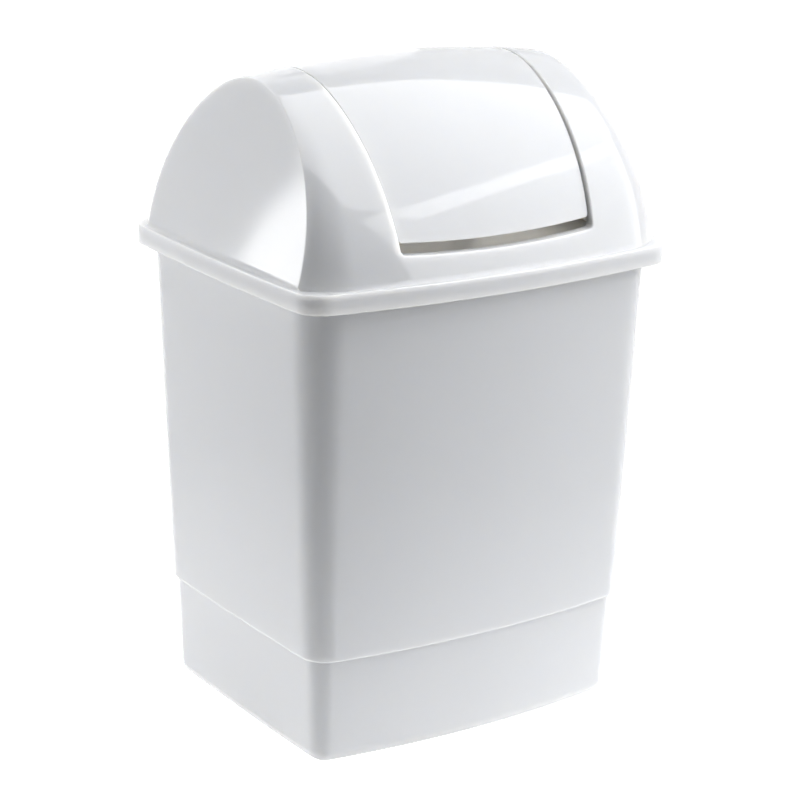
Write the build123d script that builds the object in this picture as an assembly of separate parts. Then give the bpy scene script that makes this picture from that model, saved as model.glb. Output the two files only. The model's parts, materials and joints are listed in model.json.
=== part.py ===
"""Countertop bin with a domed swing lid: a bucket, a lift-off lid cover and a swinging flap.

Millimetres, +Z up, origin on the ground below the middle of the bin. X runs along the lid's
barrel and the flap's axle, and -Y is the front. The lid works the same way front and back.
"""
from build123d import *
import math
import os

# ---------------------------------------------------------------- driving dimensions
# Bucket
MOUTH_HALF_WIDTH = 91.6      # outside, at the top
MOUTH_HALF_DEPTH = 80.1
FRONT_BOW = 8.6              # how far the middle of the front stands out from its corners
MOUTH_SIDE_BOW = 1.2
BUCKET_HEIGHT = 216.4
BUCKET_DRAFT = 2.3           # degrees that every wall leans outwards
BUCKET_WALL = 1.8
STEP_HEIGHT = 50.0           # top of the narrower foot part
STEP_INSET = 1.85
FOOT_CORNER_RADIUS = 8.8     # of the outline on the ground, and the draft widens it upwards
FOOT_ROUND = 6.5             # round of the bottom edge
FOOT_RING_WIDTH = 10.0       # from the foot's outside to the recess under the floor
FLOOR_RECESS = 2.6
FLOOR_THICKNESS = 2.0
RIM_THICKNESS = 2.0          # flange at the mouth
RIM_REACH = 3.0              # from the bucket's outside to the flange's edge
RIM_LIP_DEPTH = 5.6
RIM_LIP_THICKNESS = 1.3

# Lid cover: skirt and ledge
SKIRT_SIDE_BOW = 2.6
SKIRT_CORNER_RADIUS = 13.0
SKIRT_DROP = 8.7             # from the ledge to the skirt's lower edge
COVER_WALL = 1.8
SEAT_GAP = 0.3               # between the bucket's rim and the underside of the ledge
SKIRT_CLEARANCE = 0.6        # around the bucket's rim, inside the skirt
LEDGE_EDGE_CHAMFER = 0.6

# Lid cover: dome
DOME_RISE = 81.5             # crown of the barrel above the ledge
FRONT_LEDGE = 2.8            # width of the ledge in front of the dome
SIDE_LEDGE = 4.3             # and beside its end faces
DOME_END_DRAFT = 12.8        # degrees that the end faces lean inwards
DOME_FLARE = 9.0             # degrees that the front leans back at the ledge
DOME_FLANK_ANGLE = 63.0      # direction of the radius where the flank's arc meets the crown's
DOME_CROWN_FALL = 8.4        # how far the barrel curves inwards from its middle to the end faces
DOME_SHOULDER_RADIUS = 31.0  # round towards the end faces, which cut it short
DOME_SHOULDER_REACH = 21.1   # from where that round begins to the foot of an end face
DOME_SHOULDER_SWEEP = 70.0   # degrees that the round runs on to, past the end faces
CROWN_RUNS = 7               # short straight runs that stand for the crown's gentle curve
SHOULDER_RUNS = 5            # and for the curve of each shoulder

# Lid cover: opening for the flap
OPENING_HALF_WIDTH = 48.9    # at the ledge's height
OPENING_SIDE_DRAFT = 4.2     # degrees that its sides open upwards
OPENING_SILL = 12.0          # height of its lower corners above the ledge
OPENING_SILL_BOW = 1.7       # the middle of the sill lies this much lower
OPENING_CORNER_RADIUS = 2.0
FLANGE_THICKNESS = 1.6       # wall that turns inwards round the opening
FLANGE_DEPTH = 4.8           # from the dome's outside to the flange's inner edge

# Swing bearing
PIVOT_DROP = 16.0            # axle centre below the crown
AXLE_RADIUS = 3.0
AXLE_CLEARANCE = 0.08
EAR_THICKNESS = 2.2
EAR_RADIUS = 9.0
EAR_SIDE_GAP = 0.8           # between the flap's edge and the ear
EAR_GUSSET_THICKNESS = 1.4
EAR_GUSSET_REACH = 9.0
EAR_GUSSET_OFFSET = 6.6      # from the axle's centre line
SNAP_SLOT_NARROWING = 0.5    # the entry slot is this much narrower than the axle
SNAP_SLOT_FLARE = 2.0

# Swing flap
FLAP_WALL = 1.8
FLAP_SIDE_GAP = 0.8
FLAP_CROWN_RECESS = 0.2      # below the dome's crown
FLAP_FOOT_RECESS = 1.8       # the flap's lower edge lies this much further in than the dome
FLAP_SILL_GAP = 4.4          # height of the flap's lower edge above the sill
FLAP_CORNER_RADIUS = 1.6
FLAP_LIP_THICKNESS = 1.4
FLAP_LIP_DEPTH = 4.2         # from the flap's outside
CHEEK_THICKNESS = 2.0
CHEEK_INSET = 2.6            # from the flap's edge to the cheek's outside
CHEEK_END_RADIUS = 7.0
CHEEK_HALF_WIDTH = 24.0      # where it meets the flap
AXLE_BOSS_RADIUS = 5.0
AXLE_END_PLAY = 0.4
AXLE_OVERHANG = 0.6

# ---------------------------------------------------------------- derived places
MOUTH_CORNER_RADIUS = FOOT_CORNER_RADIUS + STEP_INSET + BUCKET_HEIGHT * math.tan(math.radians(BUCKET_DRAFT))
LEDGE_Z = BUCKET_HEIGHT + SEAT_GAP + COVER_WALL
SKIRT_BOTTOM = LEDGE_Z - SKIRT_DROP
CROWN_Z = LEDGE_Z + DOME_RISE
PIVOT_Z = CROWN_Z - PIVOT_DROP
RIM_HALF_WIDTH = MOUTH_HALF_WIDTH + RIM_REACH
RIM_HALF_DEPTH = MOUTH_HALF_DEPTH + RIM_REACH
SKIRT_HALF_WIDTH = RIM_HALF_WIDTH + SKIRT_CLEARANCE + COVER_WALL
SKIRT_HALF_DEPTH = RIM_HALF_DEPTH + SKIRT_CLEARANCE + COVER_WALL
DOME_HALF_WIDTH = SKIRT_HALF_WIDTH - SIDE_LEDGE     # end faces, at the ledge
DOME_HALF_DEPTH = SKIRT_HALF_DEPTH - FRONT_LEDGE    # middle of the front, at the ledge
DOME_SHOULDER_START = DOME_HALF_WIDTH - DOME_SHOULDER_REACH
MARGIN = 5.0                 # how far cutting tools run past what they cut


# ---------------------------------------------------------------- shared shapes
def blend(low, high, share):
    """The value that lies share of the way from low to high."""
    return low + (high - low) * share


def bowed_outline(half_width, half_depth, front_bow, side_bow, radius):
    """A rounded rectangle whose four sides bow outwards, as a flat face on the ground."""
    corner_x = half_width - side_bow
    corner_y = half_depth - front_bow
    front = ThreePointArc((-corner_x, -corner_y), (0, -half_depth), (corner_x, -corner_y))
    right = ThreePointArc((corner_x, -corner_y), (half_width, 0), (corner_x, corner_y))
    back = ThreePointArc((corner_x, corner_y), (0, half_depth), (-corner_x, corner_y))
    left = ThreePointArc((-corner_x, corner_y), (-half_width, 0), (-corner_x, -corner_y))
    outline = make_face(front + right + back + left)
    return fillet(outline.vertices(), radius)


def edges_at_height(solid, height):
    """The solid's edges that lie flat at one height."""
    return solid.edges().filter_by_position(Axis.Z, height - 0.01, height + 0.01)


# ---------------------------------------------------------------- bucket
def bucket_outline(height, inset):
    """The bucket's outline at a height, drawn in by an inset."""
    taken = inset + (BUCKET_HEIGHT - height) * math.tan(math.radians(BUCKET_DRAFT))
    mouth = bowed_outline(MOUTH_HALF_WIDTH, MOUTH_HALF_DEPTH, FRONT_BOW, MOUTH_SIDE_BOW, MOUTH_CORNER_RADIUS)
    return Pos(0, 0, height) * offset(mouth, -taken)


def bucket_block(low, high, inset):
    """The tapered block between two heights of the bucket, drawn in by an inset."""
    return loft([bucket_outline(low, inset), bucket_outline(high, inset)], ruled=True)


def rim_outline(inset):
    """The outline of the bucket's rim, which the lid's skirt clears all round."""
    radius = SKIRT_CORNER_RADIUS - COVER_WALL - SKIRT_CLEARANCE - inset
    return bowed_outline(RIM_HALF_WIDTH - inset, RIM_HALF_DEPTH - inset,
                         FRONT_BOW, SKIRT_SIDE_BOW, radius)


def skirt_outline(inset):
    """The outline of the lid's skirt, drawn in by an inset."""
    return bowed_outline(SKIRT_HALF_WIDTH - inset, SKIRT_HALF_DEPTH - inset,
                         FRONT_BOW, SKIRT_SIDE_BOW, SKIRT_CORNER_RADIUS - inset)


def make_bin_body():
    """Tapered bucket with a stepped foot, a raised floor and a flanged, down-turned rim."""
    upper = bucket_block(STEP_HEIGHT, BUCKET_HEIGHT - RIM_THICKNESS / 2, 0)
    foot = bucket_block(0, STEP_HEIGHT + BUCKET_WALL, STEP_INSET)
    foot = fillet(edges_at_height(foot, 0), FOOT_ROUND)

    flange = Pos(0, 0, BUCKET_HEIGHT - RIM_THICKNESS) * extrude(rim_outline(0), RIM_THICKNESS)
    lip_ring = rim_outline(0) - rim_outline(RIM_LIP_THICKNESS)
    lip = Pos(0, 0, BUCKET_HEIGHT - RIM_LIP_DEPTH) * extrude(lip_ring, RIM_LIP_DEPTH)
    body = upper + foot + flange + lip

    inner_step = STEP_HEIGHT + BUCKET_WALL
    cavity_foot = bucket_block(FLOOR_THICKNESS, inner_step, STEP_INSET + BUCKET_WALL)
    cavity_foot = chamfer(edges_at_height(cavity_foot, FLOOR_THICKNESS), FOOT_ROUND - BUCKET_WALL)
    cavity = cavity_foot + bucket_block(inner_step - BUCKET_WALL / 2, BUCKET_HEIGHT + MARGIN, BUCKET_WALL)
    body = body - cavity

    recess_inset = STEP_INSET + FOOT_RING_WIDTH
    plateau = extrude(bucket_outline(0, recess_inset - BUCKET_WALL), FLOOR_RECESS + FLOOR_THICKNESS)
    recess = extrude(bucket_outline(0, recess_inset), FLOOR_RECESS)
    return body + plateau - recess


# ---------------------------------------------------------------- dome shapes
def arch_radii(half_depth, rise):
    """Radii of the flank's and the crown's arcs, which meet smoothly and give the arch's size."""
    angles = [math.radians(angle) for angle in (DOME_FLARE, DOME_FLANK_ANGLE, 90.0)]
    flank_y = math.cos(angles[0]) - math.cos(angles[1])
    flank_z = math.sin(angles[1]) - math.sin(angles[0])
    crown_y = math.cos(angles[1]) - math.cos(angles[2])
    crown_z = math.sin(angles[2]) - math.sin(angles[1])
    common = flank_y * crown_z - flank_z * crown_y
    flank = (half_depth * crown_z - rise * crown_y) / common
    crown = (flank_y * rise - flank_z * half_depth) / common
    return flank, crown


def points_on_arc(centre, radius, low, high, runs):
    """The ends of even straight runs along an arc, whose angles count from +Y towards +X."""
    angles = [blend(low, high, i / runs) for i in range(runs + 1)]
    return [(centre[0] + radius * math.sin(angle), centre[1] + radius * math.cos(angle)) for angle in angles]


def barrel_section(radius, inset):
    """The barrel's lengthways section, from its turning axis out to its crowned outside."""
    crown_radius = (DOME_HALF_WIDTH ** 2 + DOME_CROWN_FALL ** 2) / (2 * DOME_CROWN_FALL)
    crown_centre = (0, radius - crown_radius)
    start = math.asin(DOME_SHOULDER_START / crown_radius)
    end = math.radians(DOME_SHOULDER_SWEEP)
    between = crown_radius - DOME_SHOULDER_RADIUS
    shoulder_centre = (between * math.sin(start), crown_centre[1] + between * math.cos(start))
    crown = points_on_arc(crown_centre, crown_radius - inset, -start, start, CROWN_RUNS)
    shoulder = points_on_arc(shoulder_centre, DOME_SHOULDER_RADIUS - inset, start, end, SHOULDER_RUNS)
    far_shoulder = [(-x, y) for x, y in reversed(shoulder)]
    outside = far_shoulder[:-1] + crown + shoulder[1:]
    axis_ends = [(outside[-1][0], 0), (outside[0][0], 0)]
    return make_face(Polyline(*outside, *axis_ends, close=True))


def barrel_turn(radius, inset, centre_y, centre_z, start, sweep):
    """The part of the barrel that one arc of its arch turns through, from its axis outwards."""
    place = Plane((0, centre_y, centre_z), x_dir=(1, 0, 0), z_dir=(0, 0, 1)).rotated((start, 0, 0))
    return revolve(place * barrel_section(radius, inset), Axis((0, centre_y, centre_z), (1, 0, 0)), sweep)


def barrel(inset, foot_recess, base_z):
    """The dome as a solid block, drawn in by an inset, with its feet pulled in by foot_recess."""
    flank_radius, crown_radius = arch_radii(DOME_HALF_DEPTH - foot_recess, DOME_RISE)
    flank_y = DOME_HALF_DEPTH - foot_recess - flank_radius * math.cos(math.radians(DOME_FLARE))
    flank_z = LEDGE_Z - flank_radius * math.sin(math.radians(DOME_FLARE))
    crown_sweep = 2 * (90 - DOME_FLANK_ANGLE)
    front = barrel_turn(flank_radius, inset, flank_y, flank_z, 0, DOME_FLANK_ANGLE)
    crown = barrel_turn(crown_radius, inset, 0, CROWN_Z - crown_radius, DOME_FLANK_ANGLE, crown_sweep)
    return (front + crown + mirror(front, Plane.XZ)) & end_wedge(inset, base_z)


def end_wedge(inset, base_z):
    """The block between the two leaning end faces of the dome, drawn in by an inset."""
    lean = math.tan(math.radians(DOME_END_DRAFT))
    top_z = CROWN_Z + MARGIN
    reach = inset / math.cos(math.radians(DOME_END_DRAFT))
    low_x = DOME_HALF_WIDTH - reach + (LEDGE_Z - base_z) * lean
    high_x = DOME_HALF_WIDTH - reach - (top_z - LEDGE_Z) * lean
    corners = [(-low_x, 0, base_z), (low_x, 0, base_z), (high_x, 0, top_z), (-high_x, 0, top_z)]
    face = make_face(Polyline(*corners, close=True))
    return extrude(face, amount=SKIRT_HALF_DEPTH, dir=(0, 1, 0), both=True)


def opening_half_width(height):
    """Half the opening's width at a height above the ground."""
    return OPENING_HALF_WIDTH + (height - LEDGE_Z) * math.tan(math.radians(OPENING_SIDE_DRAFT))


def opening_prism(inset, sill_lift, corner_radius):
    """The opening's outline seen from the front, drawn in by an inset, run right through the lid."""
    low_z = LEDGE_Z + OPENING_SILL + sill_lift
    top_z = CROWN_Z + MARGIN
    low_x = opening_half_width(low_z) - inset
    high_x = opening_half_width(top_z) - inset
    sill = ThreePointArc((-low_x, 0, low_z), (0, 0, low_z - OPENING_SILL_BOW), (low_x, 0, low_z))
    sides = Polyline((low_x, 0, low_z), (high_x, 0, top_z), (-high_x, 0, top_z), (-low_x, 0, low_z))
    face = make_face(Curve() + [sill, *sides.edges()])
    prism = extrude(face, amount=SKIRT_HALF_DEPTH, dir=(0, 1, 0), both=True)
    corners = prism.edges().filter_by(Axis.Y).sort_by(Axis.Z)[:2]
    return fillet(corners, corner_radius)


# ---------------------------------------------------------------- lid cover
def ear_inner_x():
    """Inner face of a bearing ear, beside the widest part of the flap."""
    return opening_half_width(CROWN_Z) - FLAP_SIDE_GAP + EAR_SIDE_GAP


def make_bearing_ears():
    """Two ears under the crown with snap-in bearing holes, each braced by two gussets."""
    hole_radius = AXLE_RADIUS + AXLE_CLEARANCE
    slot_width = 2 * AXLE_RADIUS - SNAP_SLOT_NARROWING
    ears = []
    for side in (-1, 1):
        middle_x = side * (ear_inner_x() + EAR_THICKNESS / 2)
        web = Pos(middle_x, 0, PIVOT_Z) * Box(EAR_THICKNESS, 2 * EAR_RADIUS, PIVOT_DROP,
                                             align=(Align.CENTER, Align.CENTER, Align.MIN))
        end = Pos(middle_x, 0, PIVOT_Z) * Rot(0, 90, 0) * Cylinder(EAR_RADIUS, EAR_THICKNESS)
        ear = web + end
        for y in (-EAR_GUSSET_OFFSET, EAR_GUSSET_OFFSET):
            low = PIVOT_Z - EAR_RADIUS / 3
            face_x = side * (ear_inner_x() + EAR_THICKNESS / 2)
            far_x = side * (ear_inner_x() + EAR_THICKNESS + EAR_GUSSET_REACH)
            outline = Polyline((face_x, y, low), (far_x, y, CROWN_Z), (face_x, y, CROWN_Z), close=True)
            ear += extrude(make_face(outline), amount=EAR_GUSSET_THICKNESS / 2, dir=(0, 1, 0), both=True)
        ear -= Pos(middle_x, 0, PIVOT_Z) * Rot(0, 90, 0) * Cylinder(hole_radius, EAR_THICKNESS + MARGIN)
        slot = Pos(middle_x, 0, PIVOT_Z) * Box(EAR_THICKNESS + MARGIN, slot_width, EAR_RADIUS + MARGIN,
                                               align=(Align.CENTER, Align.CENTER, Align.MAX))
        mouth = Pos(middle_x, 0, PIVOT_Z - EAR_RADIUS) * Rot(45, 0, 0) * Box(
            EAR_THICKNESS + MARGIN, slot_width / 2 + SNAP_SLOT_FLARE, slot_width / 2 + SNAP_SLOT_FLARE)
        ear = ear - slot - mouth
        ears.append(ear)
    return ears


def make_lid_cover():
    """Skirt, ledge and domed barrel in one moulding, open from front to back for the flap."""
    root_z = LEDGE_Z - COVER_WALL
    skirt = Pos(0, 0, SKIRT_BOTTOM) * extrude(skirt_outline(0), SKIRT_DROP)
    skirt = chamfer(edges_at_height(skirt, LEDGE_Z), LEDGE_EDGE_CHAMFER)
    block = skirt + barrel(0, 0, root_z) - opening_prism(0, 0, OPENING_CORNER_RADIUS)

    flange_round = OPENING_CORNER_RADIUS + FLANGE_THICKNESS
    flange_outline = opening_prism(-FLANGE_THICKNESS, -FLANGE_THICKNESS, flange_round)
    flange = flange_outline - barrel(FLANGE_DEPTH, 0, root_z - MARGIN)
    dome_hollow = barrel(COVER_WALL, 0, root_z - MARGIN) - flange
    for ear in make_bearing_ears():
        dome_hollow -= ear
    hollow_height = SKIRT_DROP - COVER_WALL + MARGIN
    skirt_hollow = Pos(0, 0, root_z - hollow_height) * extrude(skirt_outline(COVER_WALL), hollow_height)
    return block - skirt_hollow - dome_hollow


# ---------------------------------------------------------------- swing flap
def flap_barrel(inset):
    """The flap's arched block: the dome's arch, lowered at the crown and pulled in at its feet."""
    return barrel(FLAP_CROWN_RECESS + inset, FLAP_FOOT_RECESS, LEDGE_Z)


def make_swing_flap():
    """Arched flap with an edge lip, two cheeks and the stub axles moulded on them."""
    outline = opening_prism(FLAP_SIDE_GAP, FLAP_SILL_GAP, FLAP_CORNER_RADIUS)
    block = flap_barrel(0) & outline
    inner_outline = opening_prism(FLAP_SIDE_GAP + FLAP_LIP_THICKNESS, FLAP_SILL_GAP + FLAP_LIP_THICKNESS,
                                  FLAP_CORNER_RADIUS)
    flap = block - (flap_barrel(FLAP_WALL) & inner_outline) - flap_barrel(FLAP_LIP_DEPTH)

    cheek_x = opening_half_width(CROWN_Z) - FLAP_SIDE_GAP - CHEEK_INSET
    inside = flap_barrel(FLAP_WALL / 2)
    for side in (-1, 1):
        flap += make_cheek(side, cheek_x) & inside
        flap += make_stub_axle(side, cheek_x)
    return flap


def make_cheek(side, outer_x):
    """The web that hangs from the flap to the axle, narrowing to a round end."""
    end_y = CHEEK_END_RADIUS
    lines = Polyline((0, -end_y, PIVOT_Z), (0, -CHEEK_HALF_WIDTH, CROWN_Z), (0, CHEEK_HALF_WIDTH, CROWN_Z),
                     (0, end_y, PIVOT_Z))
    end = ThreePointArc((0, end_y, PIVOT_Z), (0, 0, PIVOT_Z - CHEEK_END_RADIUS), (0, -end_y, PIVOT_Z))
    face = make_face(Curve() + [*lines.edges(), end])
    web = extrude(face, amount=CHEEK_THICKNESS, dir=(-side, 0, 0))
    return Pos(side * outer_x, 0, 0) * web


def make_stub_axle(side, cheek_x):
    """The axle and its shoulder, which keeps the flap from rubbing on the bearing ear."""
    shoulder = ear_inner_x() - AXLE_END_PLAY - cheek_x
    length = ear_inner_x() + EAR_THICKNESS + AXLE_OVERHANG - cheek_x
    start = Pos(side * cheek_x, 0, PIVOT_Z) * Rot(0, side * 90, 0)
    boss = start * Pos(0, 0, -CHEEK_THICKNESS / 2) * Cylinder(
        AXLE_BOSS_RADIUS, shoulder + CHEEK_THICKNESS / 2, align=(Align.CENTER, Align.CENTER, Align.MIN))
    axle = start * Pos(0, 0, -CHEEK_THICKNESS / 2) * Cylinder(
        AXLE_RADIUS, length + CHEEK_THICKNESS / 2, align=(Align.CENTER, Align.CENTER, Align.MIN))
    return boss + axle


# ---------------------------------------------------------------- export
if __name__ == "__main__":
    os.makedirs("parts", exist_ok=True)
    export_step(make_bin_body(), "parts/bin_body.step")
    export_step(make_lid_cover(), "parts/lid_cover.step")
    export_step(make_swing_flap(), "parts/swing_flap.step")
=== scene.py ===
"""Looks of a countertop swing-lid bin: glossy white moulded plastic in a plain soft studio.

Metres, +Z up, the front faces -Y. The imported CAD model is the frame. Its three mouldings carry the
motion, and a finer mesh of each, with the small rounds of a real moulding, is shown in its place.
Every moulding is the same left and right and front and back, so each mesh is one quarter, at
x >= 0 and y <= 0, and a mirror modifier makes the rest.
"""

import json
import math

import bmesh
import bpy
import numpy as np
from mathutils import Matrix, Vector

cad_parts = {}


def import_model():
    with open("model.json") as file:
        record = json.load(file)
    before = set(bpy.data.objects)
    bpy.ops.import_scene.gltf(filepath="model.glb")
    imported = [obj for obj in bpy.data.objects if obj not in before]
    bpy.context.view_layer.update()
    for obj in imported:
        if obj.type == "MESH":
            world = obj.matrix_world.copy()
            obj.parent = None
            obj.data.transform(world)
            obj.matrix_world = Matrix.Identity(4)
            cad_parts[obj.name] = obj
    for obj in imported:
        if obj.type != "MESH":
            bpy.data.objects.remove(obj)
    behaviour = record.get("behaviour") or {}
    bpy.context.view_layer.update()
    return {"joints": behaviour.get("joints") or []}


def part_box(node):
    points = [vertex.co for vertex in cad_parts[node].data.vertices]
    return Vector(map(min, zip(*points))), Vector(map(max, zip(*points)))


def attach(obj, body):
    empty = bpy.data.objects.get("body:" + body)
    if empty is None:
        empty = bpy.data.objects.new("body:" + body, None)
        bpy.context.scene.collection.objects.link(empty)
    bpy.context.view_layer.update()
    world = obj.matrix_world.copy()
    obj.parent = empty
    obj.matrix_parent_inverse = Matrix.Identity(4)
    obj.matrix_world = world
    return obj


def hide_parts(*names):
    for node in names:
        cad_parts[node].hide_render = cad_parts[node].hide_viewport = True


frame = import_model()

# ---------------------------------------------------------------- sizes
# From the frame: corners of the mouldings' boxes, and the height of the flap's hinge
BODY_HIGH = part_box("bin_body")[1]
COVER_LOW, COVER_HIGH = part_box("lid_cover")
FLAP_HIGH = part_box("swing_flap")[1]
PIVOT_Z = next(joint for joint in frame["joints"] if joint["name"] == "flap_swing")["pos_m"][2]

# Bucket
RIM_REACH = 0.003          # of the rim's flange past the wall
MOUTH_HALF_WIDTH = 0.0916
MOUTH_HALF_DEPTH = BODY_HIGH.y - RIM_REACH
FRONT_BOW = 0.0086         # how far the front and the back bulge at their middle
MOUTH_SIDE_BOW = 0.0012
BUCKET_HEIGHT = BODY_HIGH.z
BUCKET_LEAN = math.tan(math.radians(2.3))
WALL = 0.0018              # thickness of the walls
STEP_HEIGHT = 0.050        # of the step near the foot, above the ground
STEP_INSET = 0.00185
FOOT_CORNER_RADIUS = 0.0088
FOOT_ROUND = 0.0065
FOOT_RING_WIDTH = 0.010    # of the ring that the bucket stands on
FLOOR_RECESS = 0.0026
FLOOR_THICKNESS = 0.002
RIM_THICKNESS = 0.002
RIM_LIP_DEPTH = 0.0056
RIM_LIP_THICKNESS = 0.0013
RIM_CORNER_RADIUS = 0.0106
STEP_ROUND = 0.0007
SMALL_ROUND = 0.0004       # of all edges that have no round of their own

# Lid cover: skirt and ledge
SIDE_BOW = 0.0026          # how far the sides bulge at their middle, as do the rim's
SKIRT_CORNER_RADIUS = 0.013
SKIRT_DROP = 0.0087        # from the ledge to the skirt's lower edge
LEDGE_ROUND = 0.0005
ROOT_ROUND = 0.0021        # sweep from the ledge into the dome

# Lid cover: dome
CROWN_RECESS = 0.0002      # of the flap, below the dome's crown
FRONT_LEDGE = 0.0028
SIDE_LEDGE = 0.0043
END_LEAN = math.radians(12.8)
FLARE = math.radians(9.0)          # lean of the arch at its feet
FLANK_ANGLE = math.radians(63.0)   # at which the arch's flank turns into its crown
CROWN_FALL = 0.0084        # of the crown's long arc, over the dome's half width
SHOULDER_RADIUS = 0.031
SHOULDER_REACH = 0.0211    # of the shoulder along the barrel
CREASE_ROUND = 0.0005      # where the shoulder meets the end face
CREASE_ANGLE = math.radians(28)    # an edge of the end face that bends more is rounded
END_MATCH = 0.9999         # cosine from which a face counts as part of the end face

# Lid cover: opening and bearing ears
OPENING_HALF_WIDTH = 0.0489
OPENING_LEAN = math.tan(math.radians(4.2))     # of its sides, as it widens upwards
OPENING_SILL = 0.012       # height of the sill's ends above the ledge
OPENING_SILL_BOW = 0.0017
OPENING_CORNER = 0.002
OPENING_ROUND = 0.0006
FLANGE_THICKNESS = 0.0016
FLANGE_DEPTH = 0.0048
EAR_THICKNESS = 0.0022
EAR_RADIUS = 0.009
EAR_HOLE_RADIUS = 0.00308
EAR_SLOT_HALF_WIDTH = 0.00275
EAR_SLOT_FLARE = 0.0015
ROOF_BITE = WALL / 3       # how far ears and gussets go into the dome's wall
GUSSET_THICKNESS = 0.0014
GUSSET_REACH = 0.009
GUSSET_OFFSET = 0.0066     # from the axle, to the front
GUSSET_OVERLAP = 0.8       # share of the ear's thickness at which the gusset starts
GUSSET_LOW_Z = PIVOT_Z - EAR_RADIUS / 3

# Swing flap
FLAP_FOOT_RECESS = 0.0018  # of the flap's arch behind the dome's, at the ledge's height
FLAP_SIDE_GAP = 0.0008
FLAP_SILL_GAP = 0.0044
FLAP_CORNER = 0.0016
FLAP_ROUND = 0.0005
FLAP_LIP_THICKNESS = 0.0014
FLAP_LIP_DEPTH = 0.0042
CHEEK_THICKNESS = 0.002
CHEEK_INSET = 0.0026       # from the flap's side
CHEEK_END_RADIUS = 0.007
CHEEK_HALF_WIDTH = 0.024
CHEEK_TOP_DEPTH = 0.7 * WALL       # of the cheek's top, inside the flap's plate
BOSS_RADIUS = 0.005
AXLE_RADIUS = 0.003
AXLE_CHAMFER = 0.0004
AXLE_END_PLAY = 0.0004

# Derived places
LEDGE_Z = COVER_LOW.z + SKIRT_DROP
CROWN_Z = FLAP_HIGH.z + CROWN_RECESS
DOME_RISE = CROWN_Z - LEDGE_Z
DOME_HALF_WIDTH = COVER_HIGH.x - SIDE_LEDGE
DOME_HALF_DEPTH = COVER_HIGH.y - FRONT_LEDGE
SHOULDER_START = DOME_HALF_WIDTH - SHOULDER_REACH
END_NORMAL = Vector((math.cos(END_LEAN), 0, math.sin(END_LEAN)))
MOUTH_CORNER_RADIUS = FOOT_CORNER_RADIUS + STEP_INSET + BUCKET_HEIGHT * BUCKET_LEAN
OPENING_TOP_HALF_WIDTH = OPENING_HALF_WIDTH + DOME_RISE * OPENING_LEAN

# ---------------------------------------------------------------- mesh fineness, per quarter
MIDDLE_RUNS = 14           # across half of the opening
SIDE_RUNS = 4              # from the opening to the shoulder
SHOULDER_RUNS = 10
APRON_RUNS = 4             # from the ledge to the sill
ARCH_RUNS = 40             # from the sill to the crown
CORNER_RUNS = 10
DEPTH_RUNS = 14            # along half of a side
FRONT_RUNS = MIDDLE_RUNS + SIDE_RUNS + SHOULDER_RUNS
BEND_RUNS = 4              # of the opening's corner: half count as middle, half as arch
END_FACE_RINGS = 8
END_CENTRE_SHARE = 0.45    # height of the rings' centre, from the end face's foot to its top
LEVEL_RUNS = 2             # in which the end face's lower line comes level
ROUND_RUNS = 4
CREASE_RUNS = 3
HOLE_RUNS = 16
DISC_RUNS = 12             # of an ear's or a cheek's rounded end
ROOF_RUNS = 10             # along a cheek's top
AXLE_RUNS = 24
OPENING_BORDER = 0.004     # band of mesh round the opening
WELD_DISTANCE = 2e-6       # within which points of two sheets become one
MIRROR_DISTANCE = 5e-6     # within which the quarters are joined
SHARP_ANGLE = math.radians(42)     # an edge that bends more is shaded as a sharp one
NORMAL_WEIGHT = 80         # how far large faces set the shading of the rounds beside them
TINY = 1e-9                # least length that is divided by
RIGHT_ANGLE_PULL = math.sqrt(0.5)  # of a round in a square corner, as corner_offset takes it

# Directions round the hinge's line, in degrees from straight down
FRONT = 90
TOP = 180

# Loops that find a place step by step
HALVINGS = 40              # of the search for the shoulder's end
SEARCH_SHARE = 0.95        # of the shoulder's start, from which that search goes out
SIDE_PASSES = 6            # for the sides of the opening
PASSES = 8                 # for all other places

# ---------------------------------------------------------------- camera, at the photograph's angle
CAMERA_PLACE = Vector((-0.6225, -0.9351, 0.4928))
CAMERA_YAW = 0.589
CAMERA_PITCH = -0.305
CAMERA_ROLL = 0.018
CAMERA_LENS = 115.7        # millimetres
CAMERA_SENSOR = 36.0       # millimetres
CAMERA_NEAR = 0.05

# ---------------------------------------------------------------- plastic
PLASTIC_IOR = 1.5
TRANSLUCENCY = 0.9
LIGHT_DEPTH = 0.011            # how deep light goes into the plastic
LIGHT_DEPTH_SHARES = (1.0, 0.94, 0.82)     # of it for red, green and blue
CLOUD_NOISE = (9.0, 3.0)       # scale and detail of the noise that varies the tone
CLOUD_DARKEST = 0.985          # share of the tone
SMEAR_NOISE = (38.0, 4.0)      # scale and detail of the noise that varies the roughness
SMEAR_LOW = 0.8                # lowest share of the roughness
SMEAR_HIGH = 1.25              # and highest
WAVE_NOISE = (13.0, 0.0)       # scale and detail of the uneven walls
WAVE_BUMP = (1.0, 0.0011)      # strength and depth
PEEL_NOISE = (700.0, 1.0)      # scale and detail of the orange peel
PEEL_BUMP = (0.1, 0.00006)     # strength and depth
PLASTICS = {   # tone, roughness, shift of the noises
    "white_bucket": ((0.915, 0.91, 0.872), 0.11, 0.3),
    "white_cover": ((0.923, 0.918, 0.885), 0.06, 1.1),
    "white_flap": ((0.925, 0.92, 0.888), 0.07, 2.3),
}

# A Mix node's colour sockets, by number, since its sockets for numbers have the same names
MIX_FIRST = 6
MIX_SECOND = 7
MIX_RESULT = 2

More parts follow.
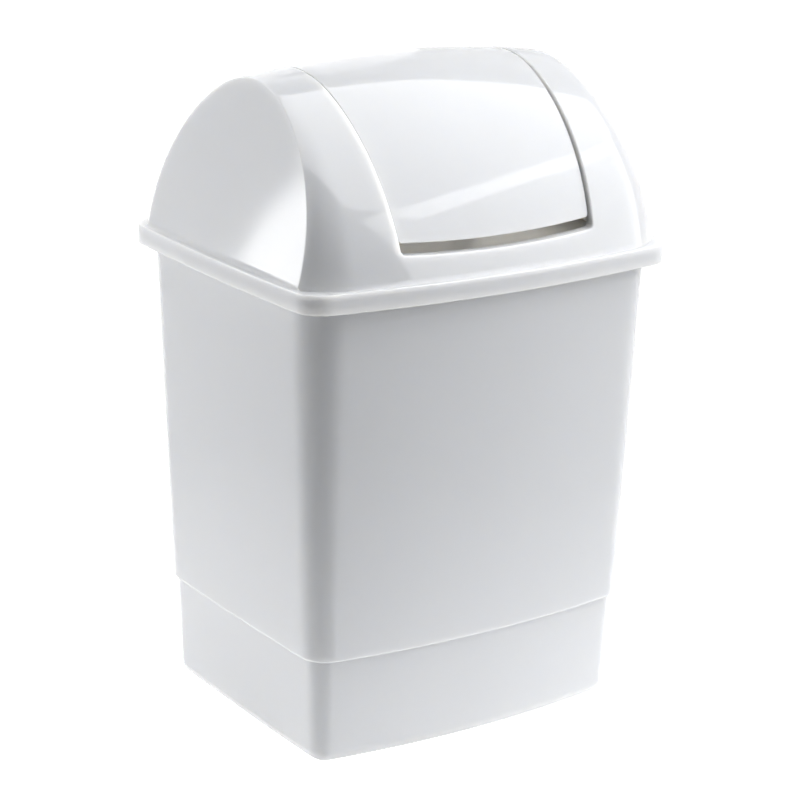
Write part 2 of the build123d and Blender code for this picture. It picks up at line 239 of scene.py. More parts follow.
# ---------------------------------------------------------------- studio
WHITE = (1, 1, 1, 1)
FLOOR_HALF = 4.0
FLOOR_NEAR = (0.85, 0.85, 0.86, 1)     # the floor's colour round the part
FLOOR_FAR = (0.12, 0.12, 0.125, 1)     # and away from it, so that little light comes back from there
FLOOR_NEAR_END = 0.16      # distance from the part's middle at which the floor begins to darken
FLOOR_FAR_START = 0.40     # and at which it is darkest
FLOOR_ROUGHNESS = 0.6
FLOOR_LIFT = 0.95          # added to what the eye sees of the floor, so that it reads white
AMBIENT = 0.035            # strength of the world's light on the part
LAMPS = {   # place, width, power in watts
    "right": ((1.66, -1.42, 0.54), 2.4, 59.0),
    "top": ((0.80, -0.50, 2.10), 2.5, 57.0),
    "left": ((-1.105, 0.70, 0.28), 1.0, 16.8),
    "back": ((-0.12, 1.35, 0.42), 2.2, 9.0),
}
LAMP_AIM = Vector((0, 0, 0.16))    # the point that every lamp faces


# ---------------------------------------------------------------- outlines
def blend(low, high, share):
    """The value that lies share of the way from low to high."""
    return low + (high - low) * share


def evenly(runs):
    """Shares from 0 to 1, evenly spaced."""
    return np.linspace(0, 1, runs + 1)


def corner_offset(size, back, ahead, pull, share):
    """The way from a corner to the point that lies share of the way along its round.

    back and ahead are unit steps out of the corner, and pull is the sine of half the angle between
    them, which makes the round an arc of a circle.
    """
    from_back = (1 - share) ** 2
    from_ahead = share ** 2
    total = from_back + 2 * share * (1 - share) * pull + from_ahead
    return size * (from_back * back + from_ahead * ahead) / total


def bowed_outline(half_width, half_depth, side_bow, radius, front_shares):
    """A quarter of a bowed, rounded rectangle, from its front middle to its right middle.

    Returns the points and the outward normals, as two arrays.
    """
    corner_x, corner_y = half_width - side_bow, half_depth - FRONT_BOW
    front_radius = (corner_x ** 2 + FRONT_BOW ** 2) / (2 * FRONT_BOW)
    side_radius = (corner_y ** 2 + side_bow ** 2) / (2 * side_bow)
    front_centre = np.array((0, front_radius - half_depth))
    side_centre = np.array((half_width - side_radius, 0))

    # The corner touches both long arcs, so its centre lies on each of them drawn in by its radius
    gap = side_centre - front_centre
    apart = np.hypot(*gap)
    along = ((front_radius - radius) ** 2 - (side_radius - radius) ** 2 + apart ** 2) / (2 * apart)
    across = math.sqrt((front_radius - radius) ** 2 - along ** 2)
    unit = gap / apart
    corner_centre = front_centre + along * unit + across * np.array((-unit[1], unit[0]))
    front_end = math.atan2(*(corner_centre - front_centre)[::-1])
    side_start = math.atan2(*(corner_centre - side_centre)[::-1])
    stretches = [
        (front_centre, front_radius, -math.pi / 2, front_end, front_shares),
        (corner_centre, radius, front_end, side_start, evenly(CORNER_RUNS)[1:]),
        (side_centre, side_radius, side_start, 0, evenly(DEPTH_RUNS)[1:]),
    ]
    points, normals = [], []
    for centre, size, low, high, shares in stretches:
        angles = blend(low, high, shares)
        out = np.stack([np.cos(angles), np.sin(angles)], 1)
        points.append(centre + size * out)
        normals.append(out)
    return np.concatenate(points), np.concatenate(normals)


def ring(outline, inset, height):
    """The outline drawn in by an inset and put at a height."""
    points, normals = outline
    flat = points - inset * normals
    return np.column_stack([flat, np.full(len(flat), height)])


def rounded(keys):
    """Rows of points through key rows, with a round of the given size at each key row.

    keys holds (row, size) pairs. A size of 0 keeps the row sharp.
    """
    rows = []
    for i, (row, size) in enumerate(keys):
        if size == 0:
            rows.append(row)
            continue
        back = keys[i - 1][0] - row
        ahead = keys[i + 1][0] - row
        back /= np.maximum(np.linalg.norm(back, axis=1), TINY)[:, None]
        ahead /= np.maximum(np.linalg.norm(ahead, axis=1), TINY)[:, None]
        pull = np.sqrt(np.clip((1 - (back * ahead).sum(1)) / 2, 0, 1))[:, None]
        for share in evenly(ROUND_RUNS):
            rows.append(row + corner_offset(size, back, ahead, pull, share))
    return np.array(rows)


# ---------------------------------------------------------------- the dome's arched barrel
class Barrel:
    """The arched barrel that dome and flap share, drawn in by an inset, its feet by foot_recess.

    A place on it is x along the barrel and an angle over the arch: 0 at the front, pi at the back.
    """

    def __init__(self, inset, foot_recess):
        # Flank and crown touch at FLANK_ANGLE, and their radii fill the arch's depth and rise
        depth = DOME_HALF_DEPTH - foot_recess
        flank_y = math.cos(FLARE) - math.cos(FLANK_ANGLE)
        flank_z = math.sin(FLANK_ANGLE) - math.sin(FLARE)
        crown_y = math.cos(FLANK_ANGLE)
        crown_z = 1 - math.sin(FLANK_ANGLE)
        common = flank_y * crown_z - flank_z * crown_y
        self.inset = inset
        self.flank_radius = (depth * crown_z - DOME_RISE * crown_y) / common
        self.crown_radius = (flank_y * DOME_RISE - flank_z * depth) / common
        self.flank_y = depth - self.flank_radius * math.cos(FLARE)
        self.flank_z = LEDGE_Z - self.flank_radius * math.sin(FLARE)
        self.crown_z = CROWN_Z - self.crown_radius

        # Lengthwise, a long arc turns at x = SHOULDER_START into the shoulder's small one
        self.long_radius = (DOME_HALF_WIDTH ** 2 + CROWN_FALL ** 2) / (2 * CROWN_FALL)
        self.turn = math.asin(SHOULDER_START / self.long_radius)
        between = self.long_radius - SHOULDER_RADIUS
        self.shoulder_x = between * math.sin(self.turn)
        self.shoulder_drop = self.long_radius - between * math.cos(self.turn)

    def drop(self, x):
        """How far the barrel lies inside its full radius at x."""
        long_radius = self.long_radius - self.inset
        short_radius = SHOULDER_RADIUS - self.inset
        crown = self.long_radius - np.sqrt(long_radius ** 2 - x ** 2)
        reach = np.clip(x - self.shoulder_x, 0, short_radius)
        shoulder = self.shoulder_drop - np.sqrt(short_radius ** 2 - reach ** 2)
        return np.where(x <= long_radius * math.sin(self.turn), crown, shoulder)

    def place(self, x, angle):
        """Points at x and an angle over the arch, both arrays or numbers."""
        x, angle = np.broadcast_arrays(np.asarray(x, float), np.asarray(angle, float))
        folded = np.minimum(angle, math.pi - angle)
        on_flank = folded < FLANK_ANGLE
        radius = np.where(on_flank, self.flank_radius, self.crown_radius) - self.drop(x)
        y = np.where(on_flank, self.flank_y, 0) + radius * np.cos(folded)
        z = np.where(on_flank, self.flank_z, self.crown_z) + radius * np.sin(folded)
        return np.stack([x, np.where(angle < math.pi / 2, -y, y), z], -1)

    def angle_at(self, x, z):
        """The front angle at which the barrel at x is z high."""
        drop = self.drop(np.asarray(x, float))
        flank = np.arcsin(np.clip((z - self.flank_z) / (self.flank_radius - drop), -1, 1))
        crown = np.arcsin(np.clip((z - self.crown_z) / (self.crown_radius - drop), -1, 1))
        return np.where(flank < FLANK_ANGLE, flank, crown)

    def end_x(self, z):
        """The end face's x at a height."""
        return DOME_HALF_WIDTH - self.inset / math.cos(END_LEAN) - (z - LEDGE_Z) * math.tan(END_LEAN)

    def shoulder_share(self, share, angle):
        """x on the shoulder, share of the way from its start to the end face, at an angle."""
        # Halves the stretch in which the shoulder meets the end face
        low = np.full(np.shape(angle), SHOULDER_START * SEARCH_SHARE)
        high = np.full(np.shape(angle), DOME_HALF_WIDTH)
        for _ in range(HALVINGS):
            middle = (low + high) / 2
            inside = middle < self.end_x(self.place(middle, angle)[..., 2])
            low = np.where(inside, middle, low)
            high = np.where(inside, high, middle)
        radius = SHOULDER_RADIUS - self.inset
        end = np.arcsin((low - self.shoulder_x) / radius)
        return self.shoulder_x + radius * np.sin(blend(self.turn, end, share))


def opening_loop(barrel, shift, lift, corner):
    """The opening's outline on a barrel: x and angle, from the sill's middle round to the crown.

    shift draws the sides in, lift raises the sill, and corner is the round between them.
    """
    low_z = LEDGE_Z + OPENING_SILL + lift
    low_x = OPENING_HALF_WIDTH + (low_z - LEDGE_Z) * OPENING_LEAN - shift
    slope = 2 * OPENING_SILL_BOW / low_x
    up = np.array((OPENING_LEAN, 1)) / math.hypot(OPENING_LEAN, 1)
    in_along = -np.array((1, slope)) / math.hypot(1, slope)
    sill_x = evenly(MIDDLE_RUNS - BEND_RUNS // 2) * (low_x + in_along[0] * corner)
    sill_z = low_z - OPENING_SILL_BOW * (1 - (sill_x / low_x) ** 2)
    start = np.array((low_x, low_z))
    bend = [corner_offset(corner, in_along, up, RIGHT_ANGLE_PULL, share)
            for share in evenly(BEND_RUNS)[1:]]
    bend = start + np.array(bend)
    x = np.concatenate([sill_x, bend[:, 0]])
    z = np.concatenate([sill_z, bend[:, 1]])
    angle = barrel.angle_at(x, z)
    side_angle = np.linspace(angle[-1], math.pi / 2, ARCH_RUNS - BEND_RUNS // 2 + 1)[1:]
    side_x = np.full(len(side_angle), x[-1])

    # The sides spread with height, and the height at an angle depends a little on x
    for _ in range(SIDE_PASSES):
        side_z = barrel.place(side_x, side_angle)[:, 2]
        side_x = OPENING_HALF_WIDTH + (side_z - LEDGE_Z) * OPENING_LEAN - shift
    return np.concatenate([x, side_x]), np.concatenate([angle, side_angle])


# ---------------------------------------------------------------- meshes
class Shell:
    """A quarter of a closed moulding, gathered as sheets of points."""

    def __init__(self):
        self.points = []
        self.faces = []

    def sheet(self, rows):
        """A sheet of four-sided faces through rows of points."""
        rows = np.asarray(rows, float)
        high, wide = rows.shape[:2]
        first = len(self.points)
        self.points.extend(rows.reshape(-1, 3).tolist())
        for i in range(high - 1):
            for j in range(wide - 1):
                corner = first + i * wide + j
                self.faces.append((corner, corner + 1, corner + wide + 1, corner + wide))

    def plate(self, loop):
        """One flat face."""
        first = len(self.points)
        self.points.extend(np.asarray(loop, float).tolist())
        self.faces.append(tuple(range(first, len(self.points))))


def is_crease(edge):
    """Whether the edge is a sharp one that borders the dome's outer end face."""
    flat = [face.normal.dot(END_NORMAL) > END_MATCH for face in edge.link_faces]
    return any(flat) and not all(flat) and edge.calc_face_angle(0) > CREASE_ANGLE


def placed(name, data):
    """A new object in the scene."""
    made = bpy.data.objects.new(name, data)
    bpy.context.scene.collection.objects.link(made)
    return made


def finished_object(name, shell, node, slot, creased=False):
    """The moulding as an object: welded, mirrored, with its sharp edges kept.

    creased says that the end faces' edges get a fine round.
    """
    mesh = bpy.data.meshes.new(name)
    made = placed(name, mesh)
    work = bmesh.new()
    corners = [work.verts.new(point) for point in shell.points]
    for face in shell.faces:
        work.faces.new([corners[i] for i in face])
    bmesh.ops.remove_doubles(work, verts=work.verts, dist=WELD_DISTANCE)
    bmesh.ops.recalc_face_normals(work, faces=work.faces)
    if creased:
        weight = work.edges.layers.float.new("bevel_weight_edge")
        for edge in work.edges:
            edge[weight] = is_crease(edge)
    work.to_mesh(mesh)
    work.free()
    mesh.materials.append(plastic(slot, *PLASTICS[slot]))
    mirror = made.modifiers.new("quarters", "MIRROR")
    mirror.use_axis = (True, True, False)
    mirror.merge_threshold = MIRROR_DISTANCE
    if creased:
        bevel = made.modifiers.new("crease", "BEVEL")
        bevel.limit_method = "WEIGHT"
        bevel.width = CREASE_ROUND
        bevel.segments = CREASE_RUNS
    mesh.shade_smooth()
    mesh.set_sharp_from_angle(angle=SHARP_ANGLE)
    shading = made.modifiers.new("normals", "WEIGHTED_NORMAL")
    shading.keep_sharp = True
    shading.weight = NORMAL_WEIGHT
    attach(made, node)
    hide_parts(node)


def bucket_shell():
    """The bucket: recessed floor, foot, step, wall, rim with its lip, and all of the inside."""
    mouth = bowed_outline(MOUTH_HALF_WIDTH, MOUTH_HALF_DEPTH, MOUTH_SIDE_BOW, MOUTH_CORNER_RADIUS,
                          evenly(FRONT_RUNS))
    rim = bowed_outline(BODY_HIGH.x, BODY_HIGH.y, SIDE_BOW, RIM_CORNER_RADIUS, evenly(FRONT_RUNS))

    def wall(inset, height):
        return ring(mouth, inset + (BUCKET_HEIGHT - height) * BUCKET_LEAN, height)

    def floor_ring(inset, height):
        return ring(mouth, inset + BUCKET_HEIGHT * BUCKET_LEAN, height)

    recess = STEP_INSET + FOOT_RING_WIDTH
    plateau = FLOOR_RECESS + FLOOR_THICKNESS
    inner_step = STEP_HEIGHT + WALL / 2
    centre_low = np.array((0, 0, FLOOR_RECESS))
    centre_high = np.array((0, 0, plateau))
    keys = [
        (floor_ring(recess, FLOOR_RECESS), 0),
        (floor_ring(recess, 0), SMALL_ROUND),
        (wall(STEP_INSET, 0), FOOT_ROUND),
        (wall(STEP_INSET, STEP_HEIGHT), SMALL_ROUND),
        (wall(0, STEP_HEIGHT), STEP_ROUND),
        (wall(0, BUCKET_HEIGHT - RIM_THICKNESS), 2 * SMALL_ROUND),
        (ring(rim, RIM_LIP_THICKNESS, BUCKET_HEIGHT - RIM_THICKNESS), SMALL_ROUND),
        (ring(rim, RIM_LIP_THICKNESS, BUCKET_HEIGHT - RIM_LIP_DEPTH), SMALL_ROUND),
        (ring(rim, 0, BUCKET_HEIGHT - RIM_LIP_DEPTH), SMALL_ROUND),
        (ring(rim, 0, BUCKET_HEIGHT), 2 * SMALL_ROUND),
        (wall(WALL, BUCKET_HEIGHT), 2 * SMALL_ROUND),
        (wall(WALL, inner_step), STEP_ROUND),
        (wall(STEP_INSET + WALL, inner_step), STEP_ROUND),
        (wall(STEP_INSET + WALL, FLOOR_THICKNESS), FOOT_ROUND - WALL),
        (floor_ring(recess - WALL, FLOOR_THICKNESS), 2 * SMALL_ROUND),
        (floor_ring(recess - WALL, plateau), 2 * SMALL_ROUND),
        (floor_ring(recess + WALL, plateau), 0),
    ]
    shell = Shell()
    shell.sheet(rounded(keys))
    shell.plate([centre_low, *keys[0][0]])
    shell.plate([centre_high, *keys[-1][0]])
    return shell


def dome_rows(barrel, root_z, border):
    """The dome's x and angles by row and column, from root_z to the crown.

    border holds shift, lift and corner of the outline at which the rows stop round the opening.
    The first pair is the apron below the opening, from the middle to the opening's corner. The
    second is all that lies beside it, out to the end face's crease.
    """
    def root_angle(x):
        return barrel.angle_at(x, root_z)

    loop_x, loop_angle = opening_loop(barrel, *border)
    sill_x, sill_angle = loop_x[:MIDDLE_RUNS + 1], loop_angle[:MIDDLE_RUNS + 1]
    side_x, side_angle = loop_x[MIDDLE_RUNS:], loop_angle[MIDDLE_RUNS:]
    apron = evenly(APRON_RUNS)[:, None]
    root_x = evenly(MIDDLE_RUNS) * sill_x[-1]
    apron_x = blend(root_x, sill_x, apron)
    apron_angle = blend(root_angle(root_x), sill_angle, apron)

    far_low = sill_angle[-1]
    far_side = np.linspace(far_low, math.pi / 2, ARCH_RUNS + 1)
    side = evenly(SIDE_RUNS)
    shoulder = evenly(SHOULDER_RUNS)[1:]
    rows_x, rows_angle = [], []
    for i in range(APRON_RUNS):
        rise = i / APRON_RUNS
        far_angle = blend(root_angle(SHOULDER_START), far_low, rise)
        shoulder_angle = np.full(SHOULDER_RUNS, float(far_angle))
        for _ in range(PASSES):
            shoulder_x = barrel.shoulder_share(shoulder, shoulder_angle)
            shoulder_angle = blend(root_angle(shoulder_x), far_low, rise)
        rows_x.append(np.concatenate([blend(apron_x[i, -1], SHOULDER_START, side), shoulder_x]))
        rows_angle.append(np.concatenate([blend(apron_angle[i, -1], far_angle, side), shoulder_angle]))
    for near_x, near_angle, far_angle in zip(side_x, side_angle, far_side):
        shoulder_angle = np.full(SHOULDER_RUNS, far_angle)
        shoulder_x = barrel.shoulder_share(shoulder, shoulder_angle)
        rows_x.append(np.concatenate([blend(near_x, SHOULDER_START, side), shoulder_x]))
        rows_angle.append(np.concatenate([blend(near_angle, far_angle, side), shoulder_angle]))
    return (apron_x, apron_angle), (np.array(rows_x), np.array(rows_angle))


def end_line(barrel, height, foot):
    """The end face's lower line, from the crease's foot to the side's middle, level at a height."""
    y = blend(foot[1], 0, evenly(DEPTH_RUNS))
    z = blend(foot[2], height, np.minimum(1, evenly(DEPTH_RUNS) * DEPTH_RUNS / LEVEL_RUNS))
    return np.column_stack([barrel.end_x(z), y, z])


def dome_sheets(shell, barrel, root_z, border):
    """Adds the dome's sheets and its end face. Returns the lowest row, round to the side's middle."""
    apron, beside = dome_rows(barrel, root_z, border)
    apron_points = barrel.place(*apron)
    beside_points = barrel.place(*beside)
    beside_points[:, -1, 0] = barrel.end_x(beside_points[:, -1, 2])
    shell.sheet(apron_points)
    shell.sheet(beside_points)
    crease = beside_points[:, -1]
    bottom = end_line(barrel, root_z, crease[0])
    end_border = np.concatenate([crease[::-1], bottom[1:]])
    middle_z = blend(bottom[-1, 2], crease[-1, 2], END_CENTRE_SHARE)
    centre = np.array((float(barrel.end_x(middle_z)), 0, middle_z))
    shares = evenly(END_FACE_RINGS)[:, None, None]
    shell.sheet(blend(end_border, centre, shares))
    return np.concatenate([apron_points[0], beside_points[0, 1:], bottom[1:]])


def with_corner(row):
    """The row with its corner point repeated, so that it matches an outline's rounded corner."""
    corner = np.repeat(row[FRONT_RUNS][None], CORNER_RUNS, 0)
    return np.concatenate([row[:FRONT_RUNS + 1], corner, row[FRONT_RUNS + 1:]])


def outside(margin):
    """Shift, lift and corner of an outline that runs a margin outside the opening."""
    return -margin, -margin, OPENING_CORNER + margin


def loop_row(inset, recess, shift, lift, corner):
    """The opening's outline on the barrel at an inset, as a row of points."""
    barrel = Barrel(inset, recess)
    return barrel.place(*opening_loop(barrel, shift, lift, corner))


def cover_shell():
    """The lid's cover: dome, ledge and skirt, the flange round the opening, and the ears."""
    shell = Shell()
    outer, inner = Barrel(0, 0), Barrel(WALL, 0)
    under_z = LEDGE_Z - WALL
    top_z = LEDGE_Z + ROOT_ROUND * math.cos(END_LEAN)
    border = outside(OPENING_BORDER)
    inner_border = outside(FLANGE_THICKNESS + OPENING_BORDER)
    outer_low = dome_sheets(shell, outer, top_z, border)
    inner_low = dome_sheets(shell, inner, under_z, inner_border)

    root_x = outer_low[:FRONT_RUNS + 1, 0]
    root_front = outer.place(root_x, outer.angle_at(root_x, LEDGE_Z))
    foot = outer_low[FRONT_RUNS].copy()
    for _ in range(PASSES):
        foot_angle = outer.angle_at(foot[0], LEDGE_Z)
        foot = outer.place(outer.shoulder_share(1.0, foot_angle), foot_angle)
    root_front[-1] = foot
    root = np.concatenate([root_front, end_line(outer, LEDGE_Z, foot)[1:]])

    shares = root_x / root_x[-1]
    skirt = bowed_outline(COVER_HIGH.x, COVER_HIGH.y, SIDE_BOW, SKIRT_CORNER_RADIUS, shares)
    shell.sheet(rounded([
        (with_corner(outer_low), 0),
        (with_corner(root), ROOT_ROUND),
        (ring(skirt, 0, LEDGE_Z), LEDGE_ROUND),
        (ring(skirt, 0, COVER_LOW.z), SMALL_ROUND),
        (ring(skirt, WALL, COVER_LOW.z), SMALL_ROUND),
        (ring(skirt, WALL, under_z), SMALL_ROUND),
        (with_corner(inner_low), 0),
    ]))

    edge = outside(0)
    flange = outside(FLANGE_THICKNESS)
    shell.sheet(rounded([
        (loop_row(0, 0, *border), 0),
        (loop_row(0, 0, *edge), OPENING_ROUND),
        (loop_row(FLANGE_DEPTH, 0, *edge), SMALL_ROUND),
        (loop_row(FLANGE_DEPTH, 0, *flange), SMALL_ROUND),
        (loop_row(WALL, 0, *flange), SMALL_ROUND),
        (loop_row(WALL, 0, *inner_border), 0),
    ]))
    bearing_ear(shell, inner)
    return shell


def extruded(shell, profile, low_x, high_x):
    """A plate between two x, whose outline is (y, z) points, open where it meets its mirror image."""
    profile = np.asarray(profile, float)
    sides = [np.column_stack([np.full(len(profile), x), profile]) for x in (low_x, high_x)]
    for side in sides:
        shell.plate(side)
    shell.sheet(sides)


def arc(radius, first, last, runs):
    """(y, z) points round the hinge's line, between two angles in degrees from straight down."""
    angles = np.radians(np.linspace(first, last, runs + 1))
    return [(-radius * math.sin(angle), PIVOT_Z - radius * math.cos(angle)) for angle in angles]


def bearing_ear(shell, inner):
    """The ear whose hole the axle snaps into, with its gusset; the mirror makes the other half."""
    inner_x = OPENING_TOP_HALF_WIDTH
    outer_x = inner_x + EAR_THICKNESS
    roof = float(inner.place(outer_x, math.pi / 2)[2]) + ROOF_BITE
    slot_angle = math.degrees(math.asin(EAR_SLOT_HALF_WIDTH / EAR_HOLE_RADIUS))
    flare_y = EAR_SLOT_HALF_WIDTH + EAR_SLOT_FLARE
    flare_angle = math.degrees(math.asin(flare_y / EAR_RADIUS))
    slot_top = PIVOT_Z - EAR_RADIUS + 2 * EAR_SLOT_FLARE
    profile = [
        *arc(EAR_HOLE_RADIUS, TOP, slot_angle, HOLE_RUNS),
        (-EAR_SLOT_HALF_WIDTH, slot_top),
        *arc(EAR_RADIUS, flare_angle, FRONT, DISC_RUNS),
        (-EAR_RADIUS, roof),
        (0, roof),
    ]
    extruded(shell, profile, inner_x, outer_x)
    far_x = outer_x + GUSSET_REACH
    far_roof = float(inner.place(far_x, math.pi / 2)[2]) + ROOF_BITE
    near_x = blend(inner_x, outer_x, GUSSET_OVERLAP)
    faces = []
    for y in (-GUSSET_OFFSET - GUSSET_THICKNESS / 2, -GUSSET_OFFSET + GUSSET_THICKNESS / 2):
        low = (near_x, y, GUSSET_LOW_Z)
        face = [low, (far_x, y, far_roof), (near_x, y, roof)]
        shell.plate(face)
        faces.append([*face, low])
    shell.sheet(faces)


def flap_shell():
    """The flap: arched plate with its edge lip, and the cheek and stub axle at each end."""
    shell = Shell()
    for depth, lip in ((0, 0), (WALL, FLAP_LIP_THICKNESS)):
        barrel = Barrel(CROWN_RECESS + depth, FLAP_FOOT_RECESS)
        margin = OPENING_BORDER + lip
        x, angle = opening_loop(barrel, FLAP_SIDE_GAP + margin, FLAP_SILL_GAP + margin, SMALL_ROUND)
        sill_x, side_x = x[:MIDDLE_RUNS + 1], x[MIDDLE_RUNS:]
        sill_angle, side_angle = angle[:MIDDLE_RUNS + 1], angle[MIDDLE_RUNS:]
        fade = 1 - evenly(ARCH_RUNS)[:, None]
        across = sill_x / sill_x[-1]
        grid_x = side_x[:, None] * across
        grid_angle = side_angle[:, None] + (sill_angle - sill_angle[-1]) * fade
        shell.sheet(barrel.place(grid_x, grid_angle))

    def row(inset, margin, corner):
        return loop_row(CROWN_RECESS + inset, FLAP_FOOT_RECESS, FLAP_SIDE_GAP + margin,
                        FLAP_SILL_GAP + margin, corner)

    shell.sheet(rounded([
        (row(0, OPENING_BORDER, SMALL_ROUND), 0),
        (row(0, 0, FLAP_CORNER), FLAP_ROUND),
        (row(FLAP_LIP_DEPTH, 0, FLAP_CORNER), SMALL_ROUND),
        (row(FLAP_LIP_DEPTH, FLAP_LIP_THICKNESS, FLAP_CORNER), SMALL_ROUND),
        (row(WALL, FLAP_LIP_THICKNESS, FLAP_CORNER), SMALL_ROUND),
        (row(WALL, FLAP_LIP_THICKNESS + OPENING_BORDER, SMALL_ROUND), 0),
    ]))
    cheek_and_axle(shell)
    return shell


def cheek_and_axle(shell):
    """The web from the flap to the axle, and the stub axle with its shoulder."""
    outer_x = OPENING_TOP_HALF_WIDTH - FLAP_SIDE_GAP - CHEEK_INSET
    inner_x = outer_x - CHEEK_THICKNESS
    under = Barrel(CROWN_RECESS + CHEEK_TOP_DEPTH, FLAP_FOOT_RECESS)
    roof_radius = under.crown_radius - float(under.drop(outer_x))

    def roof_at(y):
        return under.crown_z + np.sqrt(roof_radius ** 2 - y ** 2)

    spread = (CHEEK_HALF_WIDTH - CHEEK_END_RADIUS) / (CROWN_Z - PIVOT_Z)
    corner_y = CHEEK_HALF_WIDTH
    for _ in range(PASSES):
        corner_y = CHEEK_END_RADIUS + spread * (roof_at(corner_y) - PIVOT_Z)
    roof_y = blend(-corner_y, 0, evenly(ROOF_RUNS))
    profile = [*arc(CHEEK_END_RADIUS, 0, FRONT, DISC_RUNS), *zip(roof_y, roof_at(roof_y))]
    extruded(shell, profile, inner_x, outer_x)
    shoulder_x = OPENING_TOP_HALF_WIDTH - AXLE_END_PLAY
    start_x = outer_x - CHEEK_THICKNESS / 2
    end_x = FLAP_HIGH.x
    steps = [
        (start_x, 0), (start_x, BOSS_RADIUS), (shoulder_x - SMALL_ROUND, BOSS_RADIUS),
        (shoulder_x, BOSS_RADIUS - SMALL_ROUND), (shoulder_x, AXLE_RADIUS),
        (end_x - AXLE_CHAMFER, AXLE_RADIUS), (end_x, AXLE_RADIUS - AXLE_CHAMFER), (end_x, 0),
    ]
    rows = []
    for x, radius in steps:
        rows.append([(x, y, z) for y, z in arc(radius, 0, TOP, AXLE_RUNS)])
    shell.sheet(rows)


# ---------------------------------------------------------------- plastic
def shader_node(tree, kind, **values):
    """A shader node of that kind, with its inputs set by name."""
    made = tree.nodes.new(kind)
    for name, value in values.items():
        made.inputs[name.replace("_", " ")].default_value = value
    return made


def colour_mix(tree, share, first, second):
    """The colour that lies share of the way from the first to the second."""
    made = tree.nodes.new("ShaderNodeMix")
    made.data_type = "RGBA"
    made.inputs[MIX_FIRST].default_value = first
    made.inputs[MIX_SECOND].default_value = second
    tree.links.new(share, made.inputs["Factor"])
    return made.outputs[MIX_RESULT]


def bump(tree, height, strength, depth):
    """A bump node over a height."""
    made = shader_node(tree, "ShaderNodeBump", Strength=strength, Distance=depth)
    tree.links.new(height, made.inputs["Height"])
    return made


def plastic(name, tone, roughness, shift):
    """Glossy white moulded plastic: slightly uneven walls, a fine orange peel and a cloudy tone."""
    made = bpy.data.materials.new(name)
    made.use_nodes = True
    tree = made.node_tree
    shader = tree.nodes["Principled BSDF"]
    shader.inputs["IOR"].default_value = PLASTIC_IOR
    shader.inputs["Subsurface Weight"].default_value = TRANSLUCENCY
    shader.inputs["Subsurface Radius"].default_value = LIGHT_DEPTH_SHARES
    shader.inputs["Subsurface Scale"].default_value = LIGHT_DEPTH
    place = tree.nodes.new("ShaderNodeTexCoord")
    moved = shader_node(tree, "ShaderNodeMapping", Location=(shift, shift / 2, -shift))
    tree.links.new(place.outputs["Object"], moved.inputs["Vector"])

    def noise(scale, detail):
        texture = shader_node(tree, "ShaderNodeTexNoise", Scale=scale, Detail=detail)
        tree.links.new(moved.outputs["Vector"], texture.inputs["Vector"])
        return texture.outputs["Fac"]

    darkest = [part * CLOUD_DARKEST for part in tone]
    cloud = colour_mix(tree, noise(*CLOUD_NOISE), (*darkest, 1), (*tone, 1))
    tree.links.new(cloud, shader.inputs["Base Color"])
    smear = shader_node(tree, "ShaderNodeMapRange")
    smear.inputs["To Min"].default_value = roughness * SMEAR_LOW
    smear.inputs["To Max"].default_value = roughness * SMEAR_HIGH
    tree.links.new(noise(*SMEAR_NOISE), smear.inputs["Value"])
    tree.links.new(smear.outputs["Result"], shader.inputs["Roughness"])

    wave = bump(tree, noise(*WAVE_NOISE), *WAVE_BUMP)
    peel = bump(tree, noise(*PEEL_NOISE), *PEEL_BUMP)
    tree.links.new(wave.outputs["Normal"], peel.inputs["Normal"])
    tree.links.new(peel.outputs["Normal"], shader.inputs["Normal"])
    return made


# ---------------------------------------------------------------- studio
def camera():
    """The camera that sees the part as the photograph does."""
    ahead = Vector((
        math.sin(CAMERA_YAW) * math.cos(CAMERA_PITCH),
        math.cos(CAMERA_YAW) * math.cos(CAMERA_PITCH),
        math.sin(CAMERA_PITCH),
    ))
    level = ahead.cross(Vector((0, 0, 1))).normalized()
    upright = level.cross(ahead)
    right = math.cos(CAMERA_ROLL) * level + math.sin(CAMERA_ROLL) * upright
    up = -math.sin(CAMERA_ROLL) * level + math.cos(CAMERA_ROLL) * upright
    turn = Matrix((right, up, -ahead)).transposed().to_4x4()
    data = bpy.data.cameras.new("camera")
    data.lens = CAMERA_LENS
    data.sensor_width = CAMERA_SENSOR
    data.clip_start = CAMERA_NEAR
    made = placed("camera", data)
    made.matrix_world = Matrix.Translation(CAMERA_PLACE) @ turn
    bpy.context.scene.camera = made


def lamps():
    """Soft square lamps, aimed at the part."""
    for name, (place, size, power) in LAMPS.items():
        data = bpy.data.lights.new(name, "AREA")
        data.size = size
        data.energy = power
        made = placed(name, data)
        made.location = place
        made.rotation_euler = (LAMP_AIM - Vector(place)).to_track_quat("-Z", "Y").to_euler()


def seen_rays(tree):
    """1 for rays from the eye and for what gloss and clear materials show, 0 for all others."""
    path = tree.nodes.new("ShaderNodeLightPath")
    total = path.outputs["Is Camera Ray"]
    for ray in ("Is Glossy Ray", "Is Transmission Ray"):
        both = tree.nodes.new("ShaderNodeMath")
        both.operation = "MAXIMUM"
        tree.links.new(total, both.inputs[0])
        tree.links.new(path.outputs[ray], both.inputs[1])
        total = both.outputs[0]
    return total


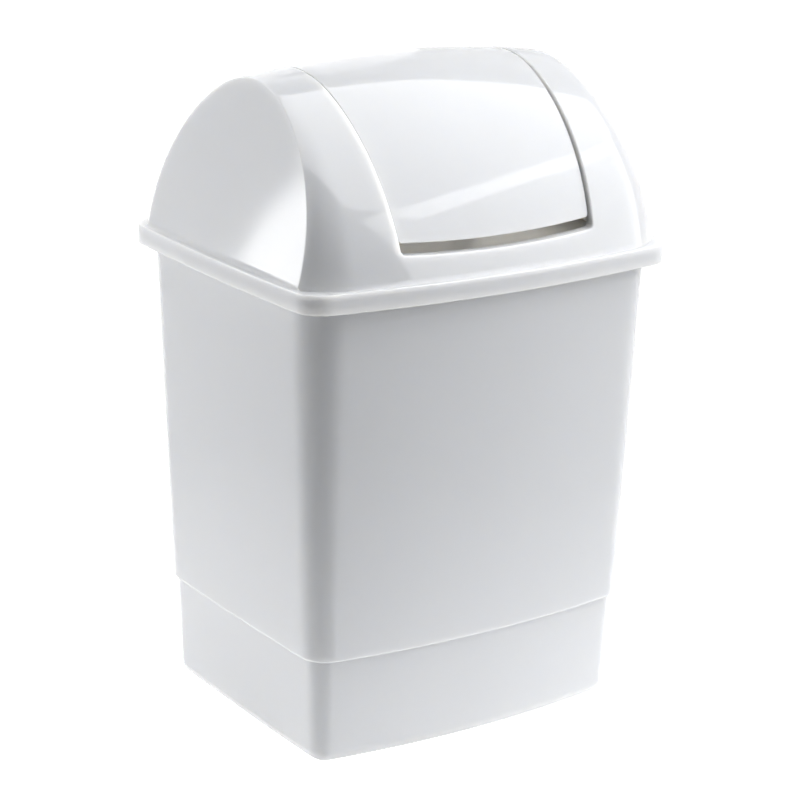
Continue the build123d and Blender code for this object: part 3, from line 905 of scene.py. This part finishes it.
def world():
    """White to the eye and in reflections, and a faint even light on the part."""
    made = bpy.data.worlds.new("studio")
    bpy.context.scene.world = made
    made.use_nodes = True
    tree = made.node_tree
    tree.nodes.clear()
    ambient = shader_node(tree, "ShaderNodeBackground", Strength=AMBIENT, Color=WHITE)
    white = shader_node(tree, "ShaderNodeBackground", Strength=1.0, Color=WHITE)
    mix = tree.nodes.new("ShaderNodeMixShader")
    out = tree.nodes.new("ShaderNodeOutputWorld")
    tree.links.new(seen_rays(tree), mix.inputs["Fac"])
    tree.links.new(ambient.outputs[0], mix.inputs[1])
    tree.links.new(white.outputs[0], mix.inputs[2])
    tree.links.new(mix.outputs[0], out.inputs["Surface"])


def floor():
    """A pale floor that reads white to the eye and keeps the part's shadow."""
    data = bpy.data.meshes.new("floor")
    corners = [(FLOOR_HALF * x, FLOOR_HALF * y, 0) for x, y in ((-1, -1), (1, -1), (1, 1), (-1, 1))]
    data.from_pydata(corners, [], [(0, 1, 2, 3)])
    made = placed("floor", data)
    finish = bpy.data.materials.new("floor")
    finish.use_nodes = True
    tree = finish.node_tree
    shader = tree.nodes["Principled BSDF"]
    place = tree.nodes.new("ShaderNodeTexCoord")
    away = tree.nodes.new("ShaderNodeVectorMath")
    away.operation = "LENGTH"
    tree.links.new(place.outputs["Object"], away.inputs[0])
    fade = shader_node(tree, "ShaderNodeMapRange", From_Min=FLOOR_NEAR_END, From_Max=FLOOR_FAR_START)
    tree.links.new(away.outputs["Value"], fade.inputs["Value"])
    shade = colour_mix(tree, fade.outputs["Result"], FLOOR_NEAR, FLOOR_FAR)
    tree.links.new(shade, shader.inputs["Base Color"])
    shader.inputs["Roughness"].default_value = FLOOR_ROUGHNESS
    shader.inputs["Emission Color"].default_value = WHITE
    lift = tree.nodes.new("ShaderNodeMath")
    lift.operation = "MULTIPLY"
    lift.inputs[1].default_value = FLOOR_LIFT
    tree.links.new(seen_rays(tree), lift.inputs[0])
    tree.links.new(lift.outputs[0], shader.inputs["Emission Strength"])
    data.materials.append(finish)


# ---------------------------------------------------------------- the scene
finished_object("bucket", bucket_shell(), "bin_body", "white_bucket")
finished_object("cover", cover_shell(), "lid_cover", "white_cover", creased=True)
finished_object("flap", flap_shell(), "swing_flap", "white_flap")
camera()
lamps()
world()
floor()
bpy.context.scene.view_settings.view_transform = "Standard"
